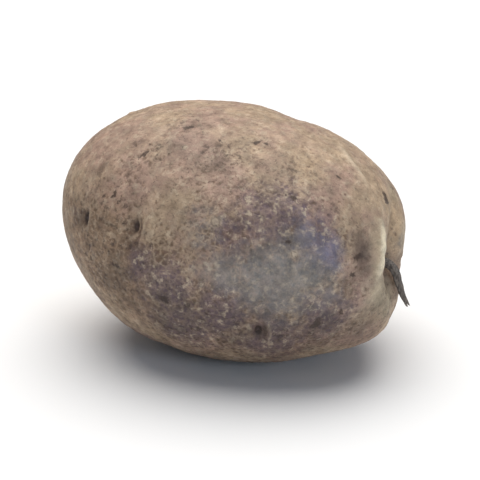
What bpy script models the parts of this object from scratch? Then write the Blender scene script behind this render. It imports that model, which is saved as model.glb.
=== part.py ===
"""Purple potato: a whole tuber with its eyes and stem end, and the dried stolon left in it.

Metres, +Z up. The long axis runs along X, with the stem end at +X and the rose end at -X.
A place on the skin is given by two angles in degrees: its station, from 0 at the stem end to
180 at the rose end, and its turn about the long axis, from 0 at the top towards -Y.
"""
import math

import bmesh
import bpy
import numpy as np
from mathutils import Vector

MM = 0.001

# The tuber's smooth body
HALF_LENGTH = 38.7 * MM
HALF_WIDTH = 29.5 * MM
HALF_HEIGHT = 26.6 * MM
FULLNESS = 2.17                  # 2 gives an ellipsoid, more gives blunter ends
LEAN = math.radians(6.5)         # the stem end lies lower than the rose end
REST_DEPTH = 0.9 * MM            # skin pressed flat where the tuber lies

# Broad swellings and hollows: station, turn, spread in degrees, height
SWELLINGS = (
    (20, 162, 10, 1.9 * MM),     # shoulder below the stem end
    (23, 100, 12, 0.9 * MM),     # the same shoulder towards the near side
    (11, 250, 10, -1.9 * MM),     # notch between the shoulder and the far lobe
    (4, 0, 15, -0.9 * MM),       # blunt stem end
    (72, 326, 24, -0.8 * MM),    # slack far side of the top
    (150, 40, 22, 0.7 * MM),     # upper side of the rose end
    (152, 130, 17, -1.7 * MM),   # lower side of the rose end
    (112, 178, 24, 0.7 * MM),    # belly towards the rose end
    (45, 156, 14, -0.9 * MM),    # hollow under the stem shoulder
    (96, 262, 26, 0.6 * MM),     # fuller far side
    (36, 288, 14, -0.4 * MM),    # slack far shoulder
)
RIPPLE = 0.16 * MM               # gentle unevenness of the whole skin
RIPPLE_COUNTS = ((5, 3, 1.2), (8, -5, 0.3), (11, 4, 2.1))

# Stem end: a bent furrow and, on its near side, a slanting lip with a trough beyond it. Run is
# the distance along them from their middle, aside the distance towards the near side.
STEM_CENTRE = (-3.0 * MM, 4.0 * MM)        # across the tuber, up
STEM_LEAN = math.radians(14)
FURROW_OFFSET = 3.4 * MM
FURROW_MIDDLE = -1.5 * MM                  # run at which the furrow bends
FURROW_BEND = 45.0                         # sideways drift per metre of run squared
FURROW_DEPTH = 2.5 * MM
FURROW_HALF_WIDTH = 3.2 * MM
FURROW_HALF_LENGTH = 10.5 * MM
LIP_OFFSET = 9.6 * MM
LIP_SLANT = 0.33                           # sideways drift per run
LIP_HEIGHT = 0.95 * MM
LIP_HALF_WIDTH = 2.0 * MM
LIP_MIDDLE = 1.0 * MM
LIP_HALF_LENGTH = 12.0 * MM
TROUGH_OFFSET = 4.6 * MM                   # from the lip's crest
TROUGH_DEPTH = 0.45 * MM
TROUGH_HALF_WIDTH = 2.6 * MM
SCAR_PLACE = (-5.0 * MM, 3.3 * MM)         # where the stolon sits in the furrow
SCAR_DEPTH = 2.3 * MM
SCAR_RADIUS = 3.8 * MM

# Eyes: a spiral from the stem end to the rose end, each eye drifting a little off it
EYE_COUNT = 13
FIRST_STATION = 24.0
LAST_STATION = 172.0
FIRST_TURN = 54.0
SPIRAL_TURN = 138.0
EYE_DRIFT = {0: (4, 8), 2: (3, -14), 3: (1, 2), 5: (-5, -5), 8: (-5, -5), 11: (-18, -55)}
EYE_DEPTH = {0: 0.35, 3: 1.1, 5: 0.3, 8: 0.9, 11: 1.0}
USUAL_EYE_DEPTH = 0.8
DISH_DEPTH = 0.5 * MM
DISH_RADIUS = 3.4 * MM
BUD_DEPTH = 1.0 * MM
BUD_HALF_LENGTH = 0.8 * MM
BUD_HALF_WIDTH = 1.5 * MM
BROW_HEIGHT = 0.5 * MM
BROW_OFFSET = 2.3 * MM
BROW_BEND = 60.0
BROW_HALF_LENGTH = 0.9 * MM
BROW_HALF_WIDTH = 3.8 * MM

# Mesh density: a round base, then halved edges near what is fine
BASE_LEVEL = 5
EYE_REACHES = (5.2 * MM, 3.2 * MM)
STEM_REACHES = (17.0 * MM, 9.0 * MM)

# Stolon: a tapering dried stub with fibre ridges, from a socket in the furrow
STOLON_ROOT = Vector((31.4, -4.9, 3.0)) * MM
STOLON_OUT = Vector((7.6, -0.5, 1.35)) * MM
STOLON_DROP = Vector((4.3, 0.7, -5.9)) * MM
STOLON_TIP = Vector((40.65, -3.6, -6.05)) * MM
STOLON_ROOT_RADIUS = 0.95 * MM
STOLON_TIP_RADIUS = 0.42 * MM
STOLON_TAPER = 2.6               # 1 tapers evenly, more stays thick until near the tip
STOLON_RINGS = 16
STOLON_SIDES = 12
BURIED_SHARE = 0.12              # part of its length that stands in the socket
COLLAR_SHARE = 0.2               # the collar just outside the socket
COLLAR_SPREAD = 0.08
COLLAR_SWELL = 0.05
FIBRES = 5
FIBRE_DEPTH = 0.14
FIBRE_TWIST = 4.0
SOCKET_GAP = 0.3 * MM
SOCKET_CUTTER_LENGTH = 7.6 * MM
SOCKET_SIDES = 16


def clear_scene():
    for thing in list(bpy.data.objects):
        bpy.data.objects.remove(thing, do_unlink=True)


def finish_material(name, colour, roughness):
    material = bpy.data.materials.new(name)
    material.use_nodes = True
    shader = material.node_tree.nodes["Principled BSDF"]
    shader.inputs["Base Color"].default_value = (*colour, 1.0)
    shader.inputs["Roughness"].default_value = roughness
    shader.inputs["Metallic"].default_value = 0.0
    return material


def ray(station, turn):
    """Unit direction from the tuber's centre to a place on its skin."""
    along, about = math.radians(station), math.radians(turn)
    side = math.sin(along)
    return np.array([math.cos(along), -side * math.sin(about), side * math.cos(about)])


def bump(distance, reach):
    return np.exp(-(distance / reach) ** 2)


def smooth_body(rays):
    """Distance from the centre to the smooth body along each ray."""
    scaled = np.abs(rays) / (HALF_LENGTH, HALF_WIDTH, HALF_HEIGHT)
    return (scaled ** FULLNESS).sum(axis=1) ** (-1.0 / FULLNESS)


def swelling(rays):
    total = np.zeros(len(rays))
    for station, turn, spread, height in SWELLINGS:
        angle = np.arccos(np.clip(rays @ ray(station, turn), -1.0, 1.0))
        total += height * bump(angle, math.radians(spread) * math.sqrt(2.0))
    for length_count, round_count, phase in RIPPLE_COUNTS:
        around = np.arctan2(-rays[:, 1], rays[:, 2])
        wave = np.sin(length_count * rays[:, 0] + phase) * np.cos(round_count * around + phase)
        total += RIPPLE * wave * (1.0 - rays[:, 0] ** 2)
    return total


def stem_relief(points):
    """Furrow, lip and trough at the stem end, read off the end view of the tuber."""
    across = points[:, 1] - STEM_CENTRE[0]
    up = points[:, 2] - STEM_CENTRE[1]
    run = across * math.sin(STEM_LEAN) + up * math.cos(STEM_LEAN)
    aside = -across * math.cos(STEM_LEAN) + up * math.sin(STEM_LEAN)
    from_furrow = aside - FURROW_OFFSET + FURROW_BEND * (run - FURROW_MIDDLE) ** 2
    furrow_run = bump(run, FURROW_HALF_LENGTH)
    furrow = -FURROW_DEPTH * bump(from_furrow, FURROW_HALF_WIDTH) * furrow_run
    from_lip = (aside - LIP_OFFSET + LIP_SLANT * run) * math.cos(math.atan(LIP_SLANT))
    lip_run = bump(run - LIP_MIDDLE, LIP_HALF_LENGTH)
    lip = LIP_HEIGHT * bump(from_lip, LIP_HALF_WIDTH) * lip_run
    trough = -TROUGH_DEPTH * bump(from_lip - TROUGH_OFFSET, TROUGH_HALF_WIDTH) * lip_run
    from_scar = np.hypot(points[:, 1] - SCAR_PLACE[0], points[:, 2] - SCAR_PLACE[1])
    scar = -SCAR_DEPTH * bump(from_scar, SCAR_RADIUS)
    return (furrow + lip + trough + scar) * (points[:, 0] > 0.0)


def eye_list():
    """Station, turn and strength of each eye."""
    eyes = []
    for step in range(EYE_COUNT):
        share = step / (EYE_COUNT - 1)
        station_drift, turn_drift = EYE_DRIFT.get(step, (0, 0))
        station = FIRST_STATION + (LAST_STATION - FIRST_STATION) * share + station_drift
        turn = FIRST_TURN + SPIRAL_TURN * step + turn_drift
        eyes.append((station, turn, EYE_DEPTH.get(step, USUAL_EYE_DEPTH)))
    return eyes


def eye_frame(station, turn):
    """The eye's place on the skin, and the directions towards the rose end and across."""
    outward = ray(station, turn)
    directions = outward[None, :]
    place = outward * (smooth_body(directions) + swelling(directions))[0]
    to_rose = np.array([-1.0, 0.0, 0.0])
    to_rose = to_rose - outward * (to_rose @ outward)
    to_rose /= np.linalg.norm(to_rose)
    return place, to_rose, np.cross(outward, to_rose)


def eye_relief(points, eye):
    """A shallow dish with a bud pit in it, and a brow round its stem side."""
    station, turn, strength = eye
    place, to_rose, sideways = eye_frame(station, turn)
    offset = points - place
    along = offset @ to_rose
    across = offset @ sideways
    apart = np.linalg.norm(offset, axis=1)
    dish = -DISH_DEPTH * bump(apart, DISH_RADIUS)
    pit = -BUD_DEPTH * bump(along, BUD_HALF_LENGTH) * bump(across, BUD_HALF_WIDTH)
    brow_line = along + BROW_OFFSET - BROW_BEND * across ** 2
    brow = BROW_HEIGHT * bump(brow_line, BROW_HALF_LENGTH) * bump(across, BROW_HALF_WIDTH)
    return strength * (dish + pit + brow) * (apart < 4.0 * DISH_RADIUS)


def skin_points(rays):
    """Places on the finished skin along unit rays from the tuber's centre."""
    points = rays * (smooth_body(rays) + swelling(rays))[:, None]
    relief = stem_relief(points)
    for eye in eye_list():
        relief += eye_relief(points, eye)
    return points + rays * relief[:, None]


def mesh_rays(mesh):
    """Unit rays to the vertices of a sphere mesh, drawn out to the body's proportions."""
    rays = np.array([vertex.co[:] for vertex in mesh.verts])
    rays = rays * (HALF_LENGTH, HALF_WIDTH, HALF_HEIGHT)
    return rays / np.linalg.norm(rays, axis=1)[:, None]


def refine(mesh, targets):
    """Halves each edge that lies within reach of a fine place, on the unit sphere."""
    mesh.verts.ensure_lookup_table()
    mesh.verts.index_update()
    points = skin_points(mesh_rays(mesh))
    near = np.zeros(len(points), dtype=bool)
    for place, reach in targets:
        near |= np.linalg.norm(points - place, axis=1) < reach
    edges = [edge for edge in mesh.edges if all(near[vertex.index] for vertex in edge.verts)]
    bmesh.ops.subdivide_edges(mesh, edges=edges, cuts=1, use_grid_fill=True)
    for vertex in mesh.verts:
        vertex.co.normalize()
    bmesh.ops.triangulate(mesh, faces=mesh.faces[:])


def lowest_direction():
    """The world's downward direction in the tuber's own frame."""
    return Vector((math.sin(LEAN), 0.0, -math.cos(LEAN)))


def press_flat(mesh):
    """Cuts a flat spot where the tuber lies and returns how far it is below the centre."""
    down = lowest_direction()
    depth = max(vertex.co.dot(down) for vertex in mesh.verts) - REST_DEPTH
    everything = mesh.verts[:] + mesh.edges[:] + mesh.faces[:]
    bmesh.ops.bisect_plane(mesh, geom=everything, plane_co=down * depth, plane_no=down,
                           clear_outer=True)
    rim = [edge for edge in mesh.edges if edge.is_boundary]
    bmesh.ops.contextual_create(mesh, geom=rim)
    return depth


def make_tuber(carrier, material):
    mesh = bmesh.new()
    bmesh.ops.create_icosphere(mesh, subdivisions=BASE_LEVEL, radius=1.0)
    eyes = [eye_frame(station, turn)[0] for station, turn, _ in eye_list()]
    stem = np.array(STOLON_ROOT)
    for eye_reach, stem_reach in zip(EYE_REACHES, STEM_REACHES):
        refine(mesh, [(eye, eye_reach) for eye in eyes] + [(stem, stem_reach)])
    for vertex, point in zip(mesh.verts, skin_points(mesh_rays(mesh))):
        vertex.co = point
    depth = press_flat(mesh)
    bmesh.ops.recalc_face_normals(mesh, faces=mesh.faces[:])
    data = bpy.data.meshes.new("tuber")
    mesh.to_mesh(data)
    mesh.free()
    data.shade_smooth()
    data.materials.append(material)
    tuber = bpy.data.objects.new("tuber", data)
    bpy.context.collection.objects.link(tuber)
    tuber.parent = carrier
    return tuber, depth


def stolon_path(share):
    """A bent line out of the furrow and down in front of the stem end."""
    first = STOLON_ROOT + STOLON_OUT
    second = STOLON_TIP - STOLON_DROP
    rest = 1.0 - share
    return (STOLON_ROOT * rest ** 3 + first * 3 * rest ** 2 * share
            + second * 3 * rest * share ** 2 + STOLON_TIP * share ** 3)


def stolon_radius(share):
    if share <= BURIED_SHARE:
        return STOLON_ROOT_RADIUS
    shrunk = share ** STOLON_TAPER
    taper = STOLON_ROOT_RADIUS + (STOLON_TIP_RADIUS - STOLON_ROOT_RADIUS) * shrunk
    return taper * (1.0 + COLLAR_SWELL * bump(share - COLLAR_SHARE, COLLAR_SPREAD))


def stolon_ring(mesh, share):
    """One ring of the stub, square to its path and grooved between its fibres."""
    step = 0.001
    centre = stolon_path(share)
    heading = stolon_path(min(share + step, 1.0)) - stolon_path(max(share - step, 0.0))
    heading.normalize()
    sideways = heading.cross(Vector((0.0, 1.0, 0.0))).normalized()
    upright = heading.cross(sideways)
    ring = []
    for side in range(STOLON_SIDES):
        angle = 2.0 * math.pi * side / STOLON_SIDES
        groove = 1.0 + FIBRE_DEPTH * share * math.cos(FIBRES * angle + FIBRE_TWIST * share)
        radius = stolon_radius(share) * groove
        ring.append(mesh.verts.new(centre + sideways * radius * math.cos(angle)
                                   + upright * radius * math.sin(angle)))
    return ring


def make_stolon(carrier, material):
    mesh = bmesh.new()
    rings = [stolon_ring(mesh, step / (STOLON_RINGS - 1)) for step in range(STOLON_RINGS)]
    for low, high in zip(rings, rings[1:]):
        for side in range(STOLON_SIDES):
            beside = (side + 1) % STOLON_SIDES
            mesh.faces.new((low[side], low[beside], high[beside], high[side]))
    mesh.faces.new(rings[0])
    mesh.faces.new(rings[-1])
    bmesh.ops.triangulate(mesh, faces=mesh.faces[:])
    bmesh.ops.recalc_face_normals(mesh, faces=mesh.faces[:])
    data = bpy.data.meshes.new("stolon")
    mesh.to_mesh(data)
    mesh.free()
    data.shade_smooth()
    data.materials.append(material)
    stolon = bpy.data.objects.new("stolon", data)
    bpy.context.collection.objects.link(stolon)
    stolon.parent = carrier


def cut_socket(tuber, carrier):
    """A plain round hole in the furrow, which the stolon's root stands in."""
    heading = (stolon_path(0.01) - STOLON_ROOT).normalized()
    bottom = STOLON_ROOT - heading * SOCKET_GAP
    radius = STOLON_ROOT_RADIUS + SOCKET_GAP
    data = bpy.data.meshes.new("socket_cutter")
    mesh = bmesh.new()
    bmesh.ops.create_cone(mesh, cap_ends=True, segments=SOCKET_SIDES, radius1=radius,
                          radius2=radius, depth=SOCKET_CUTTER_LENGTH)
    mesh.to_mesh(data)
    mesh.free()
    cutter = bpy.data.objects.new("socket_cutter", data)
    bpy.context.collection.objects.link(cutter)
    cutter.parent = carrier
    cutter.location = bottom + heading * (SOCKET_CUTTER_LENGTH / 2.0)
    cutter.rotation_euler = heading.to_track_quat("Z", "Y").to_euler()
    cutter.hide_render = True
    cutter.display_type = "WIRE"
    cut = tuber.modifiers.new("socket", "BOOLEAN")
    cut.operation = "DIFFERENCE"
    cut.object = cutter


def set_down(carrier, depth):
    """Leans the tuber, rests its flat spot on the ground and centres it over the origin."""
    carrier.rotation_euler = (0.0, LEAN, 0.0)
    bpy.context.view_layer.update()
    corners = []
    for part in carrier.children:
        if not part.hide_render:
            corners += [part.matrix_world @ vertex.co for vertex in part.data.vertices]
    middles = [(min(values) + max(values)) / 2.0 for values in zip(*corners)]
    carrier.location = (-middles[0], -middles[1], depth)


def main():
    clear_scene()
    carrier = bpy.data.objects.new("potato", None)
    bpy.context.collection.objects.link(carrier)
    skin = finish_material("potato_skin", (0.24, 0.17, 0.14), 0.62)
    dried = finish_material("dried_stolon", (0.10, 0.08, 0.06), 0.8)
    tuber, depth = make_tuber(carrier, skin)
    make_stolon(carrier, dried)
    cut_socket(tuber, carrier)
    set_down(carrier, depth)


main()
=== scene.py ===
import math

import bpy
import numpy as np
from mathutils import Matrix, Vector


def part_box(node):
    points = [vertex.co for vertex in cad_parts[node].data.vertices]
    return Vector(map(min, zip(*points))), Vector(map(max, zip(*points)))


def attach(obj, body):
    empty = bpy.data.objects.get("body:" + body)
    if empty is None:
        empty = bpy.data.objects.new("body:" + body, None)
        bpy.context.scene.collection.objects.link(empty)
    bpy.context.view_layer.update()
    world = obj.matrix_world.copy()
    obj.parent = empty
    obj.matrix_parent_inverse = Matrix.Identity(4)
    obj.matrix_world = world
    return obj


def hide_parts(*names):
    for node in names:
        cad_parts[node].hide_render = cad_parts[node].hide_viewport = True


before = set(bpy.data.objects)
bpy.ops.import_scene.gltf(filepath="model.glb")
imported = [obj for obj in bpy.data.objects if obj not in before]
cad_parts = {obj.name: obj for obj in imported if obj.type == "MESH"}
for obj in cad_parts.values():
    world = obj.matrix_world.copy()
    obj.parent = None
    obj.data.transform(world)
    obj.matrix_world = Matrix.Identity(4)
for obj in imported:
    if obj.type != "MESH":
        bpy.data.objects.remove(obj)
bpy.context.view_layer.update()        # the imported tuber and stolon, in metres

MM = 0.001


def colour(red, green, blue_skin_and_reflection):
    return (red, green, blue_skin_and_reflection, 1.0)


# The tuber's smooth body, as its solid has it
HALF_LENGTH = 38.7 * MM
HALF_WIDTH = 29.5 * MM
HALF_HEIGHT = 26.6 * MM
FULLNESS = 2.17                  # 2 gives an ellipsoid, more gives blunter ends
LEAN = math.radians(6.5)         # the stem end lies lower than the rose end
REST_DEPTH = 0.9 * MM            # skin pressed flat where the tuber lies
FLAT_GAP = 0.02 * MM             # keeps the flat spot inside the solid's box

# Broad swellings and hollows: station, turn, spread in degrees, height
SWELLINGS = (
    (20, 162, 10, 1.9 * MM),
    (23, 100, 12, 0.9 * MM),
    (11, 250, 10, -1.9 * MM),
    (4, 0, 15, -0.9 * MM),
    (72, 326, 24, -0.8 * MM),
    (150, 40, 22, 0.7 * MM),
    (152, 130, 17, -1.7 * MM),
    (112, 178, 24, 0.7 * MM),
    (45, 156, 14, -0.9 * MM),
    (96, 262, 26, 0.6 * MM),
    (36, 288, 14, -0.4 * MM),
)
RIPPLE = 0.16 * MM               # gentle unevenness of the whole skin
RIPPLE_COUNTS = ((5, 3, 1.2), (8, -5, 0.3), (11, 4, 2.1))      # along, round, phase

# Stem end: a bent furrow and, on its near side, a slanting lip with a trough beyond it. Run is
# the distance along them from their middle, aside the distance towards the near side.
STEM_CENTRE = (-3.0 * MM, 4.0 * MM)        # across the tuber, up
STEM_LEAN = math.radians(14)
FURROW_OFFSET = 3.4 * MM
FURROW_MIDDLE = -1.5 * MM                  # run at which the furrow bends
FURROW_BEND = 45.0                         # sideways drift per metre of run squared
FURROW_DEPTH = 2.5 * MM
FURROW_HALF_WIDTH = 3.2 * MM
FURROW_HALF_LENGTH = 10.5 * MM
LIP_OFFSET = 9.6 * MM
LIP_SLANT = 0.33                           # sideways drift per run
LIP_HEIGHT = 0.95 * MM
LIP_HALF_WIDTH = 2.0 * MM
LIP_MIDDLE = 1.0 * MM
LIP_HALF_LENGTH = 12.0 * MM
TROUGH_OFFSET = 4.6 * MM                   # from the lip's crest
TROUGH_DEPTH = 0.45 * MM
TROUGH_HALF_WIDTH = 2.6 * MM
SCAR_PLACE = (-5.0 * MM, 3.3 * MM)         # where the stolon sits in the furrow
SCAR_DEPTH = 2.3 * MM
SCAR_RADIUS = 3.8 * MM

# Tinted bands of the stem end: pale skin on the lip, a painted highlight along its crest, painted
# shade in the furrow's crease and a dark stain. Each has a half width, and a middle and half
# length of its run.
PALE_OFFSET = 9.5 * MM
PALE_SLANT = 0.16
PALE_BAND = (2.4 * MM, -1.0 * MM, 9.5 * MM)
GLEAM_BAND = (0.9 * MM, 2.0 * MM, 6.5 * MM)
GLEAM_HEIGHT = 0.22 * MM
CREASE_OFFSET = 0.9 * MM                   # from the furrow's bottom
CREASE_BAND = (1.0 * MM, -1.0 * MM, 6.0 * MM)
STAIN_OFFSET = 12.8 * MM
STAIN_BAND = (2.3 * MM, 2.0 * MM, 6.0 * MM)

# Round the scar: a ring of cracked cork, then wrinkles that fan out
CORK_RING_RADIUS = 1.75 * MM
CORK_RING_HALF_WIDTH = 0.5 * MM
CORK_RING_HEIGHT = 0.55 * MM
CRACKS = 9
CRACK_SHARE = 0.38                         # how much of the ring's height a crack swings
CRACK_SWAY = 1.5                           # keeps the cracks from even spacing
WRINKLES = 15
WRINKLE_HEIGHT = 0.13 * MM
WRINKLE_MIDDLE = 6.0 * MM
WRINKLE_REACH = 3.4 * MM
WRINKLE_SWAY = 2.0
WRINKLE_TWIST = 160.0                      # radians per metre out from the scar

# Eyes: a spiral from the stem end to the rose end, each eye drifting a little off it
EYE_COUNT = 13
FIRST_STATION = 24.0
LAST_STATION = 172.0
FIRST_TURN = 54.0
SPIRAL_TURN = 138.0
EYE_DRIFT = {0: (4, 8), 2: (3, -14), 3: (1, 2), 5: (-5, -5), 8: (-5, -5), 11: (-18, -55)}
EYE_DEPTH = {0: 0.35, 3: 1.1, 5: 0.3, 8: 0.9, 11: 1.0}
USUAL_EYE_DEPTH = 0.8
EYE_REACH = 13.6 * MM                      # an eye changes nothing further away
DISH_DEPTH = 0.5 * MM
DISH_RADIUS = 3.4 * MM
PIT_DEPTH = 1.0 * MM
PIT_HALF_LENGTH = 0.8 * MM
PIT_HALF_WIDTH = 1.5 * MM
BROW_HEIGHT = 0.5 * MM
BROW_OFFSET = 2.3 * MM
BROW_BEND = 60.0                           # per metre across, squared
BROW_HALF_LENGTH = 0.9 * MM
BROW_HALF_WIDTH = 3.8 * MM

# Finer parts of an eye: the brow's crest, the undercut below it and the bud in the pit
CREST_HEIGHT = 0.18 * MM
CREST_HALF_LENGTH = 0.36 * MM
UNDERCUT_OFFSET = 0.9 * MM
UNDERCUT_DEPTH = 0.2 * MM
UNDERCUT_HALF_LENGTH = 0.4 * MM
UNDERCUT_HALF_WIDTH = 2.66 * MM
BUD_OFFSET = 0.1 * MM
BUD_HEIGHT = 0.5 * MM
BUD_RADIUS = 0.45 * MM

# Fine skin: a ball of six square grids
GRID = 126

# Folds and scuffs: places that a soft line runs through, height, half width
FOLDS = (
    (((52, -12), (46, -3), (39, 6), (32, 18)), 0.42 * MM, 1.0 * MM),
    (((48, -19), (40, -9), (32, 3)), -0.3 * MM, 1.4 * MM),
    (((113, 36), (117, 43), (121, 50)), -0.16 * MM, 0.5 * MM),
    (((88, 30), (84, 36), (82, 44)), -0.08 * MM, 0.4 * MM),
    (((70, 200), (78, 206), (88, 208)), -0.14 * MM, 0.5 * MM),
    (((128, 262), (120, 268), (110, 270)), -0.12 * MM, 0.5 * MM),
    (((96, 318), (88, 322), (80, 320)), -0.1 * MM, 0.4 * MM),
)
FOLD_STEPS = 40
FOLD_FADE = 0.7                            # less keeps a fold high until near its ends

# Tinted areas of the skin: station, turn, spread in degrees, strength
TINTS = {
    # Purple areas are the skin's own; those low on the front, at turns 95 to 112, also darken that
    # band as painted shade
    "purple": (
        (60, 50, 10, 1.0), (67, 55, 11, 1.0), (47, 53, 7, 0.8), (78, 67, 10, 0.7),
        (100, 95, 11, 1.0), (111, 90, 8, 0.8), (30, 95, 6, 0.6), (39, 100, 9, 0.9),
        (76, 102, 12, 0.9), (146, 76, 5, 0.4), (92, 112, 14, 0.9), (58, 112, 12, 0.9),
        (70, 205, 20, 0.8), (92, 230, 16, 0.9), (132, 250, 18, 0.7), (58, 296, 16, 0.8),
        (164, 300, 14, 0.8), (112, 150, 18, 0.6),
    ),
    # Blue areas: violet skin, and a painted reflection of the bluish window light on the front
    "blue_skin_and_reflection": ((45, 62, 6, 0.7), (41, 65, 5, 1.0), (50, 57, 6, 0.55), (84, 236, 9, 0.4)),
    # Grey areas: smoother grey skin, and a painted sheen on the front
    "grey skin and sheen": (
        (60, 82, 15, 1.0), (75, 83, 10, 0.8), (46, 76, 10, 0.9), (55, 92, 11, 0.8),
        (40, 88, 8, 0.7), (52, 62, 9, 0.7), (10, -10, 4, 0.5), (82, 81, 10, 0.6),
        (89, 67, 12, 0.5), (98, 190, 22, 0.6), (76, 262, 18, 0.6),
    ),
    "tan": (
        (108, 2, 20, 0.9), (69, -6, 18, 0.9), (127, 19, 13, 0.8), (42, 23, 12, 1.0),
        (32, 28, 8, 1.0), (113, 57, 9, 0.8), (17, -4, 12, 0.8), (104, 166, 18, 0.5),
        (17, 98, 6, 0.8), (144, 46, 9, 0.8), (128, 60, 8, 0.8), (10, 10, 6, 0.8),
        (40, 232, 18, 0.7), (118, 300, 20, 0.8), (50, 335, 18, 0.8), (158, 210, 16, 0.6),
    ),
    "pink": (
        (140, 26, 10, 1.0), (105, 35, 12, 0.9), (84, 45, 10, 0.8), (71, 30, 10, 0.6),
        (24, 160, 12, 0.6), (128, 320, 14, 0.7), (84, 320, 12, 0.6),
    ),
    # Ochre and olive are the skin's own tones, made paler on the far lobe and the low flank of the
    # stem end as painted light
    "ochre": ((22, -8, 7, 1.0), (17, -18, 6, 0.9), (13, 3, 6, 1.0), (56, 22, 8, 0.6)),
    "olive": ((13, 112, 6, 0.9), (18, 94, 5, 1.0), (11, -40, 7, 0.7), (26, -26, 5, 0.6)),
    # Flecked areas at turns 112 to 116 also darken the low band on the front as painted shade
    "flecked": (
        (129, 66, 12, 0.7), (128, 86, 16, 1.0), (92, 34, 9, 0.8), (112, 14, 13, 0.5),
        (122, 39, 7, 0.8), (58, 28, 8, 0.5), (104, 215, 18, 0.7), (48, 262, 14, 0.7),
        (140, 200, 16, 0.7), (70, 170, 14, 0.6), (84, 112, 16, 0.8), (50, 116, 12, 0.7),
    ),
    "brown": (
        (130, 76, 10, 0.6), (130, 92, 15, 1.0), (150, 92, 12, 1.0), (118, 104, 12, 0.8),
        (110, 225, 16, 0.7), (52, 256, 14, 0.7), (142, 196, 14, 0.6),
    ),
    # Dusky areas: painted shade on the front and top, darker skin round the back
    "dusky skin and painted shade": (
        (122, 104, 13, 0.8), (98, 112, 16, 1.0), (62, 114, 16, 1.0), (40, 114, 10, 1.0),
        (27, 124, 8, 1.0), (23, 111, 6, 1.0), (144, 79, 4, 0.9), (64, 72, 6, 0.55),
        (56, 60, 6, 0.55), (95, 33, 11, 0.7), (113, 36, 8, 0.7), (66, 28, 8, 0.7),
        (46, 30, 6, 0.6), (106, 16, 9, 0.6), (80, 46, 7, 0.5), (78, 152, 22, 0.7),
        (106, 244, 18, 0.6), (60, 286, 16, 0.6),
    ),
}
TINT_REACH = 1.3                 # times the spread

# Dark scabs: station, turn, radius
SCABS = (
    (123, 39, 0.8 * MM), (112, 20, 0.9 * MM), (80, 19, 0.9 * MM), (76, 19, 0.6 * MM),
    (129, 61, 0.7 * MM), (31, 75, 0.7 * MM), (101, 101, 1.1 * MM), (42, 105, 1.3 * MM),
    (30, 63, 0.95 * MM), (34, 99, 0.6 * MM), (58, 44, 0.7 * MM), (56, 64, 0.6 * MM),
    (96, 24, 0.5 * MM), (45, 20, 0.5 * MM), (26, 1, 1.5 * MM), (64, 190, 0.9 * MM),
    (88, 214, 0.7 * MM), (120, 236, 0.8 * MM), (72, 284, 0.9 * MM), (108, 318, 0.7 * MM),
    (150, 160, 0.7 * MM), (52, 316, 0.6 * MM), (134, 282, 0.9 * MM),
)
SCAB_DEPTH = 0.14 * MM
SCAB_LOBES = ((2, 0.3), (3, 0.16), (5, 0.1))     # lobes round a scab, share of its radius

# Large pale lenticels with a ring round them: station, turn, radius
RINGED = (
    (85, 63, 1.25 * MM), (53, 69, 0.8 * MM), (108, 33, 0.7 * MM), (118, 262, 1.1 * MM),
    (62, 232, 0.8 * MM), (96, 140, 0.9 * MM),
)
HALO_HEIGHT = 0.12 * MM
HALO_REACH = 1.1                 # this and the next two are shares of the radius
RIM_PLACE = 0.75
RIM_HALF_WIDTH = 0.22
RIM_DEPTH = 0.1 * MM

# How much cork covers the skin, and what each area or part adds to it
USUAL_COVER = 0.5
COVER_CHANGES = (
    ("tan", 0.75), ("pink", 0.3), ("purple", -0.35), ("grey skin and sheen", -0.1), ("blue_skin_and_reflection", -0.25),
    ("flecked", -0.25), ("lip", 0.5), ("brow", 0.3), ("pit", -0.6),
)

# Noises of the skin: size in millimetres, detail, roughness, and a shift that sets each apart
NOISES = {
    "warp": (1.6, 3.0, 0.65, 0.0),
    "cover": (4.6, 5.0, 0.68, 40.0),
    "fringe": (0.95, 4.0, 0.68, 9.0),
    "fleck": (1.6, 4.0, 0.62, 17.0),
    "pale": (1.5, 4.0, 0.62, 53.0),
    "swell": (5.0, 3.0, 0.5, 3.0),
    "lump": (1.9, 3.0, 0.5, 21.0),
    "patch": (13.0, 4.0, 0.6, 0.0),
    "mottle": (2.6, 4.0, 0.65, 11.0),
    "grain": (0.3, 3.0, 0.7, 5.0),
    "speck": (0.6, 3.0, 0.6, 31.0),
    "cloud": (2.4, 4.0, 0.6, 71.0),
    "broad cloud": (6.0, 3.0, 0.6, 91.0),
}
NOISE_MEAN = 0.5
WARP = 0.9                       # how far the cells' edges are bent, in millimetres

# Cork net: cells and flakes in millimetres, and how strongly patches, fringes and the distance
# from a cell's edge shape the strands. A range says where each thing starts and is full.
NET_CELL = 1.25
FLAKE_SIZE = 1.0
PATCHINESS = 2.0
FRINGE = 2.0
OPENNESS = 1.9
STRAND_RANGE = (-0.6, 0.5)
FLECK_RANGE = (0.53, 0.68)
PALE_RANGE = (0.52, 0.7)

# Small lenticels: a cell, in millimetres, has one where its luck is high. Radii are shares of
# a cell, and the places of the core and the ring are shares of the radius.
LENTICEL_CELL = 5.2
LENTICEL_LUCK = (0.6, 0.65)
LENTICEL_RADII = (0.05, 0.12)
LENTICEL_FRINGE = 0.8
CORE_RANGE = (0.2, 0.75)
RING_START = (0.5, 0.95)
RING_END = (1.1, 1.9)

# Heights of the pattern in millimetres, as geometry and, finer, as bump
NET_HEIGHTS = (("strand", 0.08), ("fleck", -0.06), ("pale", 0.03))
SPOT_HEIGHTS = (("ring", 0.07), ("core", -0.12))
SWELL_HEIGHT = 0.5
LUMP_HEIGHT = 0.16
LIP_SMOOTHNESS = 0.75            # share of the net that is gone on the lip's pale skin
BUMP_HEIGHTS = (("strand", 0.08), ("fleck", -0.05), ("pale", 0.03), ("core", -0.06))
GRAIN_BUMP = 0.05
SPECK_BUMP = 0.05
SKIN_BUMP_STRENGTH = 0.9

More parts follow.
